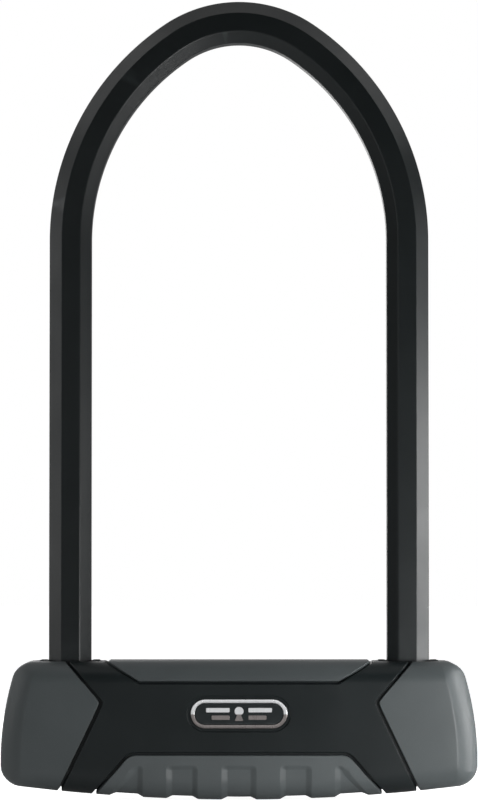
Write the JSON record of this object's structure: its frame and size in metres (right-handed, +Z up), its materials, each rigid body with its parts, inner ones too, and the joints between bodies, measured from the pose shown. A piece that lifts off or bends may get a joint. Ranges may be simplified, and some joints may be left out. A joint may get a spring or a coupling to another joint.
{
  "type": "u lock",
  "caption": "Bicycle U-lock: a coated parabolic steel shackle standing in a crossbar that holds a disc cylinder and a cam-driven bolt for each leg.",
  "frame": {"origin": "lowest point under the middle of the crossbar, in the middle of its depth", "axes": "+X along the crossbar to the right as seen from the badge side, +Y from the badge side to the back, +Z up the shackle legs towards the bow"},
  "size_m": [0.1742, 0.038, 0.2936],
  "materials": {
    "soft_grey": "dark grey soft-touch moulding, fine matt grain",
    "satin_black": "black moulding, satin",
    "shackle_vinyl": "black vinyl coating, smooth satin",
    "chrome": "bright chrome plate",
    "seal_rubber": "black rubber, matt",
    "socket_nylon": "dark glass-filled nylon, matt",
    "zinc_casting": "as-cast zinc alloy, satin grey",
    "brass": "machined brass",
    "hardened_steel": "hardened steel, dull grey",
    "spring_steel": "drawn spring wire"
  },
  "bodies": {
    "crossbar": {"centre_sleeve": "satin_black", "top_trim_panel": "soft_grey", "finger_grip_panel": "soft_grey", "badge_bezel": "chrome", "badge_plate": "satin_black", "keyhole_rosette": "satin_black", "case_tube": "hardened_steel", "mechanism_housing": "zinc_casting", "bolt_guide": "zinc_casting", "cylinder_barrel": "brass", "left_end_cap": "soft_grey", "left_shackle_seal": "seal_rubber", "left_leg_socket": "socket_nylon", "left_end_plate": "hardened_steel", "left_end_pin": "hardened_steel", "right_end_cap": "soft_grey", "right_shackle_seal": "seal_rubber", "right_leg_socket": "socket_nylon", "right_end_plate": "hardened_steel", "right_end_pin": "hardened_steel", "guide_screw_1": "hardened_steel", "guide_screw_2": "hardened_steel", "guide_screw_3": "hardened_steel", "guide_screw_4": "hardened_steel"},
    "shackle": {"shackle_bar": "hardened_steel", "shackle_coating": "shackle_vinyl"},
    "cylinder_rotor": {"cylinder_core": "brass", "cylinder_face": "hardened_steel", "drill_guard_disc": "hardened_steel", "detainer_disc_1": "brass", "detainer_disc_2": "brass", "detainer_disc_3": "brass", "detainer_disc_4": "brass", "detainer_disc_5": "brass", "detainer_disc_6": "brass", "spacer_ring_1": "hardened_steel", "spacer_ring_2": "hardened_steel", "spacer_ring_3": "hardened_steel", "spacer_ring_4": "hardened_steel", "spacer_ring_5": "hardened_steel", "rear_spacer": "brass", "bolt_cam": "hardened_steel", "cam_screw": "hardened_steel", "sidebar_spring_lower": "spring_steel", "sidebar_spring_upper": "spring_steel", "shutter_spring_rear": "spring_steel", "shutter_spring_front": "spring_steel"},
    "left_bolt_slider": {"left_bolt": "hardened_steel", "left_bolt_pin": "hardened_steel"},
    "right_bolt_slider": {"right_bolt": "hardened_steel", "right_bolt_pin": "hardened_steel"},
    "sidebar_slider": {"sidebar": "brass"},
    "front_shutter_slider": {"front_shutter": "hardened_steel"},
    "rear_shutter_slider": {"rear_shutter": "hardened_steel"}
  },
  "joints": [
    {"name": "shackle_lift", "type": "slide", "parent": "crossbar", "child": "shackle", "axis": [0, 0, 1], "range_m": [0, 0.06]},
    {"name": "cylinder_turn", "type": "hinge", "parent": "crossbar", "child": "cylinder_rotor", "pos_m": [0, 0, 0.018], "axis": [0, 0, 1], "range_deg": [0, 90]},
    {"name": "left_bolt_slide", "type": "slide", "parent": "crossbar", "child": "left_bolt_slider", "axis": [-1, 0, 0], "range_m": [0, 0.0045]},
    {"name": "right_bolt_slide", "type": "slide", "parent": "crossbar", "child": "right_bolt_slider", "axis": [1, 0, 0], "range_m": [0, 0.0045]},
    {"name": "sidebar_slide", "type": "slide", "parent": "cylinder_rotor", "child": "sidebar_slider", "axis": [0, 1, 0], "range_m": [0, 0.0012]},
    {"name": "front_shutter_slide", "type": "slide", "parent": "cylinder_rotor", "child": "front_shutter_slider", "axis": [0, -1, 0], "range_m": [0, 0.0018], "deforming": ["shutter_spring_front"]},
    {"name": "rear_shutter_slide", "type": "slide", "parent": "cylinder_rotor", "child": "rear_shutter_slider", "axis": [0, 1, 0], "range_m": [0, 0.0018], "deforming": ["shutter_spring_rear"]}
  ],
  "couplings": [
    {"joint": "cylinder_turn", "follows": "left_bolt_slide", "rad_per_m": 349.07},
    {"joint": "right_bolt_slide", "follows": "left_bolt_slide", "ratio": 1}
  ]
}
